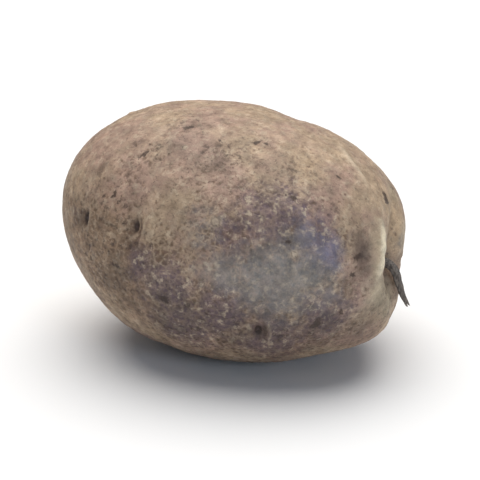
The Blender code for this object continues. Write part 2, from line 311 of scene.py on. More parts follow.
# Colours of the skin
CORK = colour(0.41, 0.297, 0.197)
PINK_CORK = colour(0.375, 0.248, 0.187)
WARM_CORK = colour(0.31, 0.205, 0.125)
# Pale cork, also painted as a highlight on the crests of raised folds and of eye brows
PALE_CORK_AND_HIGHLIGHT = colour(0.54, 0.43, 0.31)
BROWN = colour(0.168, 0.1, 0.06)
MAUVE = colour(0.138, 0.091, 0.104)
# Grey, and the paler grey laid over it: partly smoother skin, partly painted sheen
GREY_AND_SHEEN = colour(0.2, 0.188, 0.18)
BLOOM_AND_SHEEN = colour(0.22, 0.21, 0.198)
# Violet-blue: partly the skin's own, partly a painted reflection of the bluish window light
BLUE_AND_REFLECTION = colour(0.155, 0.14, 0.203)
PIT = colour(0.075, 0.045, 0.032)
# Ochre and olive: the skin's own tones, made paler as painted light
OCHRE_AND_PAINTED_LIGHT = colour(0.49, 0.35, 0.22)
OLIVE_AND_PAINTED_LIGHT = colour(0.4, 0.335, 0.225)
LIP_TAN = colour(0.5, 0.405, 0.27)
# Painted highlight along the lip's crest
LIP_HIGHLIGHT = colour(0.84, 0.73, 0.53)
# Painted shade in the furrow's crease
CREASE_SHADE = colour(0.15, 0.11, 0.07)
STAIN = colour(0.1, 0.065, 0.052)
DISH = colour(0.16, 0.1, 0.07)
DEEP = colour(0.05, 0.028, 0.02)
BUD = colour(0.085, 0.048, 0.045)

# Edges of the skin's areas and parts: how ragged, and the mask's values where each one starts
# and is full
EDGES = {
    "purple": (1.6, 0.2, 0.85),
    "grey skin and sheen": (1.2, 0.25, 0.95),
    "blue_skin_and_reflection": (1.1, 0.1, 1.0),
    "pink": (1.4, 0.2, 0.9),
    "brown": (1.0, 0.1, 0.8),
    "ochre": (0.8, 0.1, 0.9),
    "olive": (0.8, 0.1, 0.9),
    "dusky skin and painted shade": (0.8, 0.1, 1.0),
    "stain": (0.8, 0.1, 1.1),
    "lip": (0.9, 0.1, 1.0),
    "gleam": (1.0, 0.15, 1.0),
    "crease": (0.6, 0.2, 1.0),
    "crest": (0.9, 0.2, 1.1),
    "furrow": (0.5, 0.4, 1.1),
    "cork ring": (0.5, 0.3, 0.8),
    "dish": (0.9, 0.3, 1.1),
    "brow": (0.9, 0.3, 1.0),
    "arch": (0.5, 0.2, 0.8),
    "halo": (0.5, 0.2, 0.7),
    "rim": (0.5, 0.3, 0.9),
    "pit": (0.4, 0.2, 0.6),
    "bud": (0.3, 0.3, 0.8),
}
SCAB_EDGE = (1.3, 0.25, 0.7)

# Where other things start and are full. The last two say how strong they are at either end.
PATCH_RANGE = (0.4, 0.62)
WARM_FLAKES = (0.6, 1.0)
BLOTCHES = (0.52, 0.7)
SPECKS = (0.6, 0.68)
FLECKS_SHOW = (0.0, 0.8, 0.2, 0.9)
PALE_SHOWS = (0.0, 0.6, 0.35, 0.85)

# Layers of colour, the first one lowest: where they lie, strength, colour
# The grey and blue in the ground are partly painted sheen and a painted reflection
GROUND_LAYERS = (("grey skin and sheen", 0.9, GREY_AND_SHEEN), ("purple", 0.9, MAUVE), ("blue_skin_and_reflection", 0.9, BLUE_AND_REFLECTION))
CORK_LAYERS = (
    ("pink", 0.8, PINK_CORK),
    ("brown", 0.85, WARM_CORK),
    ("warm flake", 0.4, PALE_CORK_AND_HIGHLIGHT),
    # Ochre and olive are partly painted light; grey and blue partly painted sheen and a painted
    # reflection
    ("ochre", 0.8, OCHRE_AND_PAINTED_LIGHT),
    ("olive", 0.8, OLIVE_AND_PAINTED_LIGHT),
    ("grey skin and sheen", 0.5, GREY_AND_SHEEN),
    ("purple", 0.5, MAUVE),
    ("blue_skin_and_reflection", 0.6, BLUE_AND_REFLECTION),
    ("blotch", 0.45, BROWN),
)
STRAND_COVER = 0.92
TOP_LAYERS = (
    ("fleck", 1.0, PIT),
    ("speck", 0.5, PIT),
    ("pale", 1.0, PALE_CORK_AND_HIGHLIGHT),
    # A paler grey that is partly smoother skin and partly painted sheen, then blue that is partly a
    # painted reflection
    ("grey skin and sheen", 0.45, BLOOM_AND_SHEEN),
    ("blue_skin_and_reflection", 0.3, BLUE_AND_REFLECTION),
    ("ring", 0.45, PALE_CORK_AND_HIGHLIGHT),
    ("core", 0.6, PIT),
    ("stain", 0.8, STAIN),
    ("lip", 0.75, LIP_TAN),
    # Painted highlight along the lip's crest
    ("gleam", 0.85, LIP_HIGHLIGHT),
    # Painted shade in the furrow's crease, painted highlight on the crests of raised folds, painted
    # shade down in the furrow
    ("crease", 0.85, CREASE_SHADE),
    ("crest", 0.75, PALE_CORK_AND_HIGHLIGHT),
    ("furrow", 0.6, PIT),
    ("cork ring", 0.7, CORK),
    ("dish", 0.5, DISH),
    # Painted highlight on each eye's brow, painted shade in the undercut below it
    ("brow", 0.4, PALE_CORK_AND_HIGHLIGHT),
    ("arch", 0.6, PIT),
    ("halo", 0.6, PALE_CORK_AND_HIGHLIGHT),
    ("rim", 0.5, PIT),
    ("scab", 0.9, PIT),
    ("pit", 0.95, DEEP),
    ("bud", 0.8, BUD),
)

# Light and dark of the skin: two values of a noise, and the brightness at each
SHADES = (
    ("grain", (0.2, 0.8, 0.84, 1.14)),
    ("cloud", (0.3, 0.7, 0.8, 1.2)),
    ("broad cloud", (0.35, 0.65, 0.9, 1.08)),
)
# Brightness where the dusky areas are full: painted shade on the front, darker skin round the back
DUSKY_AND_PAINTED_SHADE = 0.68

# Roughness of the skin: two values of the mottle and the roughness at each, then what is
# added by strands and taken off by the lip's pale skin and by the grey areas
MOTTLE_ROUGHNESS = (0.3, 0.7, 0.46, 0.58)
STRAND_ROUGHNESS = 0.14
LIP_GLOSS = 0.1
GREY_GLOSS = 0.08
SKIN_SPECULAR = 0.42

# Stolon: a tapering dried stub, from a socket in the furrow, in the tuber's own frame
STOLON_ROOT = Vector((31.4, -4.9, 3.0)) * MM
STOLON_OUT = Vector((7.6, -0.5, 1.35)) * MM
STOLON_DROP = Vector((4.3, 0.7, -5.9)) * MM
STOLON_TIP = Vector((40.65, -3.6, -6.05)) * MM
STOLON_ROOT_RADIUS = 0.95 * MM
STOLON_TIP_RADIUS = 0.42 * MM
STOLON_TAPER = 2.6               # 1 tapers evenly, more stays thick until near the tip
STOLON_RINGS = 120
STOLON_SIDES = 48
HEADING_STEP = 0.001             # share of the length from which its direction is worked out
COLLAR_SHARE = 0.2               # the collar just outside the socket
COLLAR_SPREAD = 0.08
COLLAR_SWELL = 0.05
FIBRES = 5                       # shrunken ridges that twist along it
FIBRE_DEPTH = 0.13               # this, the hairs and the knots are shares of the radius
FIBRE_TWIST = 4.0
HAIRS = 13
HAIR_DEPTH = 0.05
HAIR_TWIST = 9.0
HAIR_SWAY = 2.0
HAIR_PACE = 17.0                 # how fast the sway comes and goes along the stolon
KNOT_DEPTH = 0.07
KNOT_PACE = 31.0
KNOT_TWIST = 5.0
ROOT_RELIEF = 0.35               # share of all this relief that the root has
TORN_LENGTH = 0.5 * MM
TORN_TIP = 12                    # more keeps the torn fibres nearer the tip
TORN_TEETH = 7
TORN_WAVES = 3
TIP_HOLLOW = 0.06                # share of the drop by which the broken end is hollow

# Looks of the stolon: noises as those of the skin, and where each thing starts and is full
FIBRE_NOISE = (0.35, 3.0, 0.6)
FIBRE_SQUEEZE = (1.0, 1.0, 0.25)
BLOTCH_NOISE = (1.6, 3.0, 0.6)
STOLON_DARK = colour(0.055, 0.045, 0.04)
STOLON_PALE = colour(0.2, 0.17, 0.145)
STOLON_BROWN = colour(0.26, 0.2, 0.15)
STOLON_FIBRES = (0.35, 0.65)
STOLON_BLOTCHES = (0.5, 0.7, 0.0, 0.5)
STOLON_ROUGHNESS = (0.3, 0.7, 0.62, 0.8)
STOLON_BUMP = 0.12
STOLON_BUMP_STRENGTH = 0.8

# Floor, lights and camera, in metres, and the camera's lens and sensor in millimetres
FLOOR_HALF = 3.0                 # half of its side
PAPER_DIM = colour(0.86, 0.86, 0.86)
PAPER_BRIGHT = colour(0.9, 0.895, 0.89)
PAPER_CLOUD = 0.3                # size of the faint clouds
PAPER_ROUGHNESS = 0.7
LIT_MIDDLE = (0.0, 0.0, 0.025)
LIGHTS = (                       # name, place, size, power, colour
    ("overhead", (-0.1, 0.25, 1.1), 1.6, 21.5, (1.0, 0.965, 0.92)),
    ("window", (0.85, -0.65, 0.42), 0.4, 2.6, (0.72, 0.84, 1.0)),
)
SKY = colour(0.68, 0.82, 1.0)
SKY_STRENGTH = 0.18
AZIMUTH = 18.0
ELEVATION = 23.0
LENS = 250.0
SENSOR_WIDTH = 36.0
VIEW_WIDTH = 0.104               # what the picture is wide at the potato
VIEW_MIDDLE = Vector((0.0, 0.0, 0.024))
VIEW_END = 20.0


def ray(station, turn):
    """Direction from the tuber's middle to a place on its skin."""
    along, about = math.radians(station), math.radians(turn)
    side = math.sin(along)
    return np.array([math.cos(along), -side * math.sin(about), side * math.cos(about)])


def angles_to(rays, station, turn):
    return np.arccos(np.clip(rays @ ray(station, turn), -1.0, 1.0))


def bump(distance, reach):
    """1 at no distance, falling softly to 0 beyond the reach."""
    return np.exp(-(distance / reach) ** 2)


def smooth_body(rays):
    """How far the smooth body reaches along each ray."""
    scaled = np.abs(rays) / (HALF_LENGTH, HALF_WIDTH, HALF_HEIGHT)
    return (scaled ** FULLNESS).sum(axis=1) ** (-1.0 / FULLNESS)


def swelling(rays):
    """How far swellings, hollows and ripples move the skin along each ray."""
    total = np.zeros(len(rays))
    for station, turn, spread, height in SWELLINGS:
        reach = math.radians(spread) * math.sqrt(2.0)
        total += height * bump(angles_to(rays, station, turn), reach)
    around = np.arctan2(-rays[:, 1], rays[:, 2])
    for length_count, round_count, phase in RIPPLE_COUNTS:
        wave = np.sin(length_count * rays[:, 0] + phase) * np.cos(round_count * around + phase)
        total += RIPPLE * wave * (1.0 - rays[:, 0] ** 2)
    return total


def body_points(rays):
    return rays * (smooth_body(rays) + swelling(rays))[:, None]


def stem_relief(points):
    """Height of the furrow, lip and trough, and the masks that colour the stem end."""
    across = points[:, 1] - STEM_CENTRE[0]
    up = points[:, 2] - STEM_CENTRE[1]
    run = across * math.sin(STEM_LEAN) + up * math.cos(STEM_LEAN)
    aside = -across * math.cos(STEM_LEAN) + up * math.sin(STEM_LEAN)
    from_furrow = aside - FURROW_OFFSET + FURROW_BEND * (run - FURROW_MIDDLE) ** 2
    from_lip = (aside - LIP_OFFSET + LIP_SLANT * run) * math.cos(math.atan(LIP_SLANT))
    at_end = points[:, 0] > 0.0

    def band(offset, half_width, middle, half_length):
        """A soft band that fades out sideways and towards its ends."""
        return bump(offset, half_width) * bump(run - middle, half_length) * at_end

    furrow = band(from_furrow, FURROW_HALF_WIDTH, 0.0, FURROW_HALF_LENGTH)
    lip = band(from_lip, LIP_HALF_WIDTH, LIP_MIDDLE, LIP_HALF_LENGTH)
    trough = band(from_lip - TROUGH_OFFSET, TROUGH_HALF_WIDTH, LIP_MIDDLE, LIP_HALF_LENGTH)
    gleam = band(from_lip, *GLEAM_BAND)
    height = (LIP_HEIGHT * lip + GLEAM_HEIGHT * gleam
              - FURROW_DEPTH * furrow - TROUGH_DEPTH * trough)
    masks = {
        "furrow": furrow,
        "lip": band(aside - PALE_OFFSET + PALE_SLANT * run, *PALE_BAND),
        "gleam": gleam,
        "crease": band(from_furrow - CREASE_OFFSET, *CREASE_BAND),
        "stain": band(aside - STAIN_OFFSET, *STAIN_BAND),
    }
    return height, masks


def scar_relief(points):
    """Height of the scar, its cracked cork ring and the wrinkles, and the ring's mask."""
    across = points[:, 1] - SCAR_PLACE[0]
    up = points[:, 2] - SCAR_PLACE[1]
    from_scar = np.hypot(across, up)
    bearing = np.arctan2(up, across)
    at_end = points[:, 0] > 0.0
    scar = bump(from_scar, SCAR_RADIUS) * at_end
    cracks = np.cos(CRACKS * bearing + CRACK_SWAY * np.sin(2.0 * bearing))
    ring = bump(from_scar - CORK_RING_RADIUS, CORK_RING_HALF_WIDTH) * at_end
    ring = ring * (1.0 - CRACK_SHARE + CRACK_SHARE * cracks)
    fan = np.cos(WRINKLES * bearing + WRINKLE_SWAY * np.sin(3.0 * bearing + 0.7)
                 + WRINKLE_TWIST * from_scar)
    wrinkles = fan * bump(from_scar - WRINKLE_MIDDLE, WRINKLE_REACH) * at_end
    height = CORK_RING_HEIGHT * ring + WRINKLE_HEIGHT * wrinkles - SCAR_DEPTH * scar
    return height, {"cork ring": ring}


def eye_list():
    """Station, turn and strength of each eye."""
    eyes = []
    for step in range(EYE_COUNT):
        share = step / (EYE_COUNT - 1)
        station_drift, turn_drift = EYE_DRIFT.get(step, (0, 0))
        station = FIRST_STATION + (LAST_STATION - FIRST_STATION) * share + station_drift
        turn = FIRST_TURN + SPIRAL_TURN * step + turn_drift
        eyes.append((station, turn, EYE_DEPTH.get(step, USUAL_EYE_DEPTH)))
    return eyes


def skin_frame(station, turn):
    """A place on the skin, the direction to the rose end there, and the one across it."""
    outward = ray(station, turn)
    place = body_points(outward[None, :])[0]
    to_rose = np.array([-1.0, 0.0, 0.0])
    to_rose = to_rose - outward * (to_rose @ outward)
    to_rose /= np.linalg.norm(to_rose)
    return place, to_rose, np.cross(outward, to_rose)


def eye_relief(points, eye):
    """One eye's height, and the masks of its dish, pit, brow's crest, bud and undercut."""
    station, turn, strength = eye
    place, to_rose, sideways = skin_frame(station, turn)
    offset = points - place
    along, across = offset @ to_rose, offset @ sideways
    apart = np.linalg.norm(offset, axis=1)
    near = apart < EYE_REACH
    dish = bump(apart, DISH_RADIUS) * near
    pit = bump(along, PIT_HALF_LENGTH) * bump(across, PIT_HALF_WIDTH) * near
    from_brow = along + BROW_OFFSET - BROW_BEND * across ** 2
    brow = bump(from_brow, BROW_HALF_LENGTH) * bump(across, BROW_HALF_WIDTH) * near
    crest = bump(from_brow, CREST_HALF_LENGTH) * bump(across, BROW_HALF_WIDTH) * near
    undercut = bump(from_brow - UNDERCUT_OFFSET, UNDERCUT_HALF_LENGTH)
    undercut = undercut * bump(across, UNDERCUT_HALF_WIDTH) * near
    bud = bump(np.hypot(along - BUD_OFFSET, across), BUD_RADIUS) * near
    height = (BROW_HEIGHT * brow + CREST_HEIGHT * crest + BUD_HEIGHT * bud
              - UNDERCUT_DEPTH * undercut - DISH_DEPTH * dish - PIT_DEPTH * pit)
    masks = {"dish": dish, "pit": pit, "brow": crest, "bud": bud, "arch": undercut}
    return strength * height, {name: strength * mask for name, mask in masks.items()}


def eyes_relief(points):
    """Height of all eyes, and their masks together."""
    height = np.zeros(len(points))
    masks = {}
    for eye in eye_list():
        rise, eye_masks = eye_relief(points, eye)
        height += rise
        for name, mask in eye_masks.items():
            masks[name] = np.maximum(masks.get(name, 0.0), mask)
    return height, masks


def line_distance(points, places):
    """Distance from points to a smooth line over the skin, and how far along it they are."""
    stations, turns = np.array(places, float).T
    knots = np.linspace(0.0, 1.0, len(places))
    shares = np.linspace(0.0, 1.0, FOLD_STEPS)
    degree = len(places) - 1
    station_curve = np.polyval(np.polyfit(knots, stations, degree), shares)
    turn_curve = np.polyval(np.polyfit(knots, turns, degree), shares)
    rays = np.array([ray(station, turn) for station, turn in zip(station_curve, turn_curve)])
    line = body_points(rays)
    gaps = np.linalg.norm(points[:, None, :] - line[None, :, :], axis=2)
    return gaps.min(axis=1), shares[gaps.argmin(axis=1)]


def fold_relief(points):
    """Height of soft folds and scuffs, and the mask of the raised folds' crests, where a highlight
    is painted.
    """
    height = np.zeros(len(points))
    crest = np.zeros(len(points))
    for places, rise, half_width in FOLDS:
        gap, share = line_distance(points, places)
        fold = bump(gap, half_width) * np.clip(4.0 * share * (1.0 - share), 0.0, 1.0) ** FOLD_FADE
        height += rise * fold
        if rise > 0.0:
            crest = np.maximum(crest, fold)
    return height, {"crest": crest}


def scab_mask(points, station, turn, radius):
    """One scab, longer one way than the other and with an uneven outline."""
    place, to_rose, sideways = skin_frame(station, turn)
    offset = points - place
    bearing = np.arctan2(offset @ sideways, offset @ to_rose)
    uneven = np.ones(len(points))
    for (lobes, swing), phase in zip(SCAB_LOBES, (station, turn, station + turn)):
        uneven += swing * np.cos(lobes * bearing + phase)
    return bump(np.linalg.norm(offset, axis=1), radius * uneven)


def spot_relief(points):
    """Height and masks of the scabs and the ringed lenticels."""
    scab = np.zeros(len(points))
    for place in SCABS:
        scab = np.maximum(scab, scab_mask(points, *place))
    halo = np.zeros(len(points))
    rim = np.zeros(len(points))
    for station, turn, radius in RINGED:
        apart = np.linalg.norm(points - skin_frame(station, turn)[0], axis=1)
        halo = np.maximum(halo, bump(apart, HALO_REACH * radius))
        rim = np.maximum(rim, bump(apart - RIM_PLACE * radius, RIM_HALF_WIDTH * radius))
    height = HALO_HEIGHT * halo - RIM_DEPTH * rim - SCAB_DEPTH * scab
    return height, {"scab": scab, "halo": halo, "rim": rim}


def tint_mask(rays, areas):
    """One colour's areas, the strongest one counting where they overlap."""
    mask = np.zeros(len(rays))
    for station, turn, spread, strength in areas:
        reach = math.radians(spread) * TINT_REACH
        mask = np.maximum(mask, strength * bump(angles_to(rays, station, turn), reach))
    return mask


def fine_relief(rays, points):
    """The solid's relief, finer relief on top of it, and the masks that colour the skin."""
    height = np.zeros(len(points))
    masks = {}
    for relief in (stem_relief, scar_relief, eyes_relief, fold_relief, spot_relief):
        rise, parts = relief(points)
        height += rise
        masks.update(parts)
    for name, areas in TINTS.items():
        masks[name] = tint_mask(rays, areas)
    cover = np.full(len(points), USUAL_COVER)
    for name, change in COVER_CHANGES:
        cover += change * masks[name]
    masks["cover"] = cover
    return height, masks


def ball_grid(count):
    """Unit rays and outward quads of a cube whose faces are even grids, blown up to a ball."""
    steps = np.tan(np.linspace(-1.0, 1.0, count + 1) * math.pi / 4.0)
    places = {}
    rays = []
    quads = []

    def corner(indices):
        if indices not in places:
            places[indices] = len(rays)
            rays.append([steps[index] for index in indices])
        return places[indices]

    for axis in range(3):
        first, second = (axis + 1) % 3, (axis + 2) % 3
        for level in (0, count):
            for u in range(count):
                for v in range(count):
                    quad = []
                    for du, dv in ((0, 0), (1, 0), (1, 1), (0, 1)):
                        indices = [0, 0, 0]
                        indices[axis], indices[first], indices[second] = level, u + du, v + dv
                        quad.append(corner(tuple(indices)))
                    quads.append(quad if level else quad[::-1])
    rays = np.array(rays) * (HALF_LENGTH, HALF_WIDTH, HALF_HEIGHT)
    return rays / np.linalg.norm(rays, axis=1)[:, None], quads


def leaned(points):
    """Points of the tuber's own frame, leaned as it lies."""
    x = points[:, 0] * math.cos(LEAN) + points[:, 2] * math.sin(LEAN)
    z = points[:, 2] * math.cos(LEAN) - points[:, 0] * math.sin(LEAN)
    return np.stack([x, points[:, 1], z], axis=1)


def lay_down(points):
    """Where the tuber's own centre sits, so that the leaned tuber fills the solid's box."""
    laid = leaned(points)
    low, high = (np.array(corner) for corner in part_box("tuber"))
    shift = (low + high) / 2.0 - (laid.min(axis=0) + laid.max(axis=0)) / 2.0
    shift[2] = low[2] - REST_DEPTH - laid[:, 2].min()
    return shift


def set_attribute(mesh, name, values):
    kind = "FLOAT_VECTOR" if values.ndim == 2 else "FLOAT"
    attribute = mesh.attributes.new(name, kind, "POINT")
    field = "vector" if values.ndim == 2 else "value"
    attribute.data.foreach_set(field, np.ascontiguousarray(values, np.float32).ravel())


def add_piece(name, points, faces, attributes):
    """A smooth piece of the scene, with values at its points for the materials to read."""
    mesh = bpy.data.meshes.new(name)
    mesh.from_pydata(points.tolist(), [], faces)
    mesh.shade_smooth()
    for attribute, values in attributes.items():
        set_attribute(mesh, attribute, values)
    piece = bpy.data.objects.new(name, mesh)
    bpy.context.collection.objects.link(piece)
    return piece


def make_skin():
    """The skin before its net, and where the tuber's own centre sits in the scene."""
    rays, quads = ball_grid(GRID)
    points = body_points(rays)
    height, masks = fine_relief(rays, points)
    points = points + rays * height[:, None]
    shift = lay_down(points)
    skin = add_piece("tuber_skin", leaned(points) + shift, quads, {"place": points / MM, **masks})
    return skin, shift


def put(socket, value):
    """Links another socket to this one, or sets a plain value on it."""
    if isinstance(value, bpy.types.NodeSocket):
        socket.id_data.links.new(value, socket)
    else:
        socket.default_value = value


class Tree:
    """Short ways to add nodes to a material's or a modifier's node tree."""

    def __init__(self, tree):
        self.tree = tree

    def node(self, kind, inputs=None, **settings):
        """A new node with its settings made and its inputs filled in."""
        made = self.tree.nodes.new(kind)
        for name, value in settings.items():
            setattr(made, name, value)
        for socket, value in (inputs or {}).items():
            put(made.inputs[socket], value)
        return made

    def maths(self, operation, first, second, clamp=False):
        inputs = {0: first, 1: second}
        made = self.node("ShaderNodeMath", inputs, operation=operation, use_clamp=clamp)
        return made.outputs[0]

    def times(self, first, second):
        return self.maths("MULTIPLY", first, second)

    def plus(self, start, terms):
        """The start, plus each term's value times its weight."""
        total = start
        for value, weight in terms:
            total = self.maths("ADD", total, self.times(value, weight))
        return total

    def vector(self, operation, first, second):
        inputs = {0: first, "Scale" if operation == "SCALE" else 1: second}
        return self.node("ShaderNodeVectorMath", inputs, operation=operation).outputs[0]

    def ramp(self, value, low, high, start=0.0, end=1.0):
        """Smooth step from start, where the value is low, to end, where it is high."""
        inputs = {"Value": value, "From Min": low, "From Max": high, "To Min": start, "To Max": end}
        made = self.node("ShaderNodeMapRange", inputs, interpolation_type="SMOOTHSTEP")
        return made.outputs["Result"]

    def noise(self, place, size, detail=2.0, roughness=0.5, shift=0.0, output=0):
        """A noise as a value, or as three values where the output is 1."""
        moved = self.vector("ADD", place, (shift, shift, shift))
        inputs = {"Vector": moved, "Scale": 1.0 / size, "Detail": detail, "Roughness": roughness}
        return self.node("ShaderNodeTexNoise", inputs, noise_dimensions="3D").outputs[output]

    def swing(self, place, name):
        """A noise of the skin, as a value round 0."""
        return self.maths("SUBTRACT", self.noise(place, *NOISES[name]), NOISE_MEAN)

    def cells(self, place, size, feature="F1"):
        inputs = {"Vector": place, "Scale": 1.0 / size}
        made = self.node("ShaderNodeTexVoronoi", inputs, voronoi_dimensions="3D", feature=feature)
        return made.outputs

    def parts(self, vector):
        return self.node("ShaderNodeSeparateXYZ", {0: vector}).outputs

    def mixed(self, factor, first, second):
        inputs = {0: factor, 6: first, 7: second}
        return self.node("ShaderNodeMix", inputs, data_type="RGBA", clamp_factor=True).outputs[2]

    def attribute(self, name):
        return self.node("ShaderNodeAttribute", attribute_type="GEOMETRY", attribute_name=name)

    def place(self):
        return self.attribute("place").outputs["Vector"]

    def mask(self, name):
        return self.attribute(name).outputs["Fac"]

    def bumped(self, height, strength):
        """Normals of a bump whose height is in millimetres."""
        inputs = {"Strength": strength, "Distance": MM, "Height": height}
        return self.node("ShaderNodeBump", inputs).outputs[0]


def warped_place(tree, place):
    """The place drifting a little, so that no cell has straight edges."""
    drift = tree.noise(place, *NOISES["warp"], output=1)
    drift = tree.vector("SUBTRACT", drift, (NOISE_MEAN, NOISE_MEAN, NOISE_MEAN))
    return tree.vector("ADD", place, tree.vector("SCALE", drift, WARP))


def lenticels(tree, warped, fringe):
    """Cores and rings of the small lenticels."""
    spot = tree.cells(warped, LENTICEL_CELL)
    luck = tree.parts(spot["Color"])
    there = tree.ramp(luck[0], *LENTICEL_LUCK)
    radius = tree.ramp(luck[1], 0.0, 1.0, *LENTICEL_RADII)
    share = tree.maths("DIVIDE", spot["Distance"], radius)
    share = tree.plus(share, ((fringe, LENTICEL_FRINGE),))
    core = tree.ramp(share, *CORE_RANGE, 1.0, 0.0)
    ring = tree.times(tree.ramp(share, *RING_START), tree.ramp(share, *RING_END, 1.0, 0.0))
    return {"core": tree.times(core, there), "ring": tree.times(ring, there)}


def skin_pattern(tree, place, cover):
    """Cork net, flecks, pale flecks and lenticels, the same in relief and in colour.

    The more cork covers the skin, the more the strands of the net run together, until only
    small gaps are left between them.
    """
    warped = warped_place(tree, place)
    fringe = tree.swing(warped, "fringe")
    edge = tree.cells(warped, NET_CELL, "DISTANCE_TO_EDGE")["Distance"]
    level = tree.plus(cover, ((tree.swing(place, "cover"), PATCHINESS), (fringe, FRINGE),
                              (edge, -OPENNESS)))
    flake = tree.parts(tree.cells(warped, FLAKE_SIZE)["Color"])
    return {
        "strand": tree.ramp(level, *STRAND_RANGE),
        "fleck": tree.ramp(tree.noise(warped, *NOISES["fleck"]), *FLECK_RANGE),
        "pale": tree.ramp(tree.noise(warped, *NOISES["pale"]), *PALE_RANGE),
        "warmth": flake[1],
        **lenticels(tree, warped, fringe),
    }


def net_height(tree):
    """Height of the cork net, lenticels, lumps and swells, in millimetres."""

    def named(name, kind="FLOAT"):
        made = tree.node("GeometryNodeInputNamedAttribute", {"Name": name}, data_type=kind)
        return made.outputs["Attribute"]

    place = named("place", "FLOAT_VECTOR")
    pattern = skin_pattern(tree, place, named("cover"))
    smooth = tree.maths("SUBTRACT", 1.0, tree.times(named("lip"), LIP_SMOOTHNESS), clamp=True)
    net = tree.plus(0.0, [(pattern[name], height) for name, height in NET_HEIGHTS])
    spots = [(pattern[name], height) for name, height in SPOT_HEIGHTS]
    lumps = [(tree.swing(place, "swell"), SWELL_HEIGHT), (tree.swing(place, "lump"), LUMP_HEIGHT)]
    return tree.plus(tree.times(net, smooth), spots + lumps)


def raise_net(skin):
    """Gives the skin its net, lenticels and lumps as geometry."""
    group = bpy.data.node_groups.new("raised_net", "GeometryNodeTree")
    group.interface.new_socket("Geometry", in_out="INPUT", socket_type="NodeSocketGeometry")
    group.interface.new_socket("Geometry", in_out="OUTPUT", socket_type="NodeSocketGeometry")
    tree = Tree(group)
    start = tree.node("NodeGroupInput")
    end = tree.node("NodeGroupOutput")
    normal = tree.node("GeometryNodeInputNormal").outputs[0]
    offset = tree.vector("SCALE", normal, tree.times(net_height(tree), MM))
    mover = tree.node("GeometryNodeSetPosition", {"Geometry": start.outputs[0], "Offset": offset})
    put(end.inputs[0], mover.outputs[0])
    modifier = skin.modifiers.new("raised_net", "NODES")
    modifier.node_group = group
    view = bpy.context.evaluated_depsgraph_get()
    mesh = bpy.data.meshes.new_from_object(skin.evaluated_get(view))
    skin.modifiers.clear()
    skin.data = mesh


def press_flat(skin):
    """Flattens the skin where it lies, a hair above the lowest that the solid reaches."""
    mesh = skin.data
    places = np.zeros(len(mesh.vertices) * 3)
    mesh.vertices.foreach_get("co", places)
    places = places.reshape(-1, 3)
    places[:, 2] = np.maximum(places[:, 2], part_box("tuber")[0].z + FLAT_GAP)
    mesh.vertices.foreach_set("co", places.ravel())
    mesh.update()


def new_material(name):
    """A material, its node tree and the inputs of its shader."""
    material = bpy.data.materials.new(name)
    material.use_nodes = True
    shader = material.node_tree.nodes["Principled BSDF"]
    return material, Tree(material.node_tree), shader.inputs


def layer_amounts(tree, noises, pattern):
    """How much of each layer shows at a place, from 0 to 1, with ragged edges."""
    wide_fray = tree.maths("SUBTRACT", noises["mottle"], NOISE_MEAN)
    fine_fray = tree.maths("SUBTRACT", noises["speck"], NOISE_MEAN)

    def ragged(name, fray, raggedness, low, high):
        return tree.ramp(tree.plus(tree.mask(name), ((fray, raggedness),)), low, high)

    amounts = {name: ragged(name, wide_fray, *edge) for name, edge in EDGES.items()}
    tinted = tree.maths("ADD", amounts["grey skin and sheen"], amounts["purple"])
    amounts.update({
        "ring": pattern["ring"],
        "core": pattern["core"],
        "warm flake": tree.ramp(pattern["warmth"], *WARM_FLAKES),
        "blotch": tree.ramp(noises["mottle"], *BLOTCHES),
        "speck": tree.ramp(noises["speck"], *SPECKS),
        "fleck": tree.times(pattern["fleck"], tree.ramp(tree.mask("flecked"), *FLECKS_SHOW)),
        "pale": tree.times(pattern["pale"], tree.ramp(tinted, *PALE_SHOWS)),
        "scab": ragged("scab", fine_fray, *SCAB_EDGE),
    })
    return amounts


def skin_colour(tree, noises, pattern, amounts):
    """Purple ground, the cork net over it, and what lies or sinks in on top of both."""

    def painted(base, layers):
        for name, strength, tone in layers:
            base = tree.mixed(tree.times(amounts[name], strength), base, tone)
        return base

    ground = painted(BROWN, GROUND_LAYERS)
    cork = painted(tree.mixed(tree.ramp(noises["patch"], *PATCH_RANGE), CORK, PINK_CORK),
                   CORK_LAYERS)
    skin = tree.mixed(tree.times(pattern["strand"], STRAND_COVER), ground, cork)
    # Darker in the dusky areas (painted shade on the front, darker skin round the back), then by
    # noise
    shade = tree.ramp(amounts["dusky skin and painted shade"], 0.0, 1.0, 1.0, DUSKY_AND_PAINTED_SHADE)
    for name, brightness in SHADES:
        shade = tree.times(shade, tree.ramp(noises[name], *brightness))
    return tree.vector("SCALE", painted(skin, TOP_LAYERS), shade)


def skin_material():
    material, tree, shader = new_material("netted_purple_skin")
    place = tree.place()
    pattern = skin_pattern(tree, place, tree.mask("cover"))
    noises = {name: tree.noise(place, *NOISES[name])
              for name in ("patch", "mottle", "grain", "speck", "cloud", "broad cloud")}
    amounts = layer_amounts(tree, noises, pattern)
    put(shader["Base Color"], skin_colour(tree, noises, pattern, amounts))
    rough = tree.ramp(noises["mottle"], *MOTTLE_ROUGHNESS)
    rough = tree.plus(rough, ((pattern["strand"], STRAND_ROUGHNESS),
                              (tree.mask("lip"), -LIP_GLOSS), (amounts["grey skin and sheen"], -GREY_GLOSS)))
    put(shader["Roughness"], rough)
    shader["Specular IOR Level"].default_value = SKIN_SPECULAR
    fine = tree.plus(0.0, ((noises["grain"], GRAIN_BUMP), (noises["speck"], SPECK_BUMP)))
    fine = tree.plus(fine, [(pattern[name], height) for name, height in BUMP_HEIGHTS])
    put(shader["Normal"], tree.bumped(fine, SKIN_BUMP_STRENGTH))
    return material


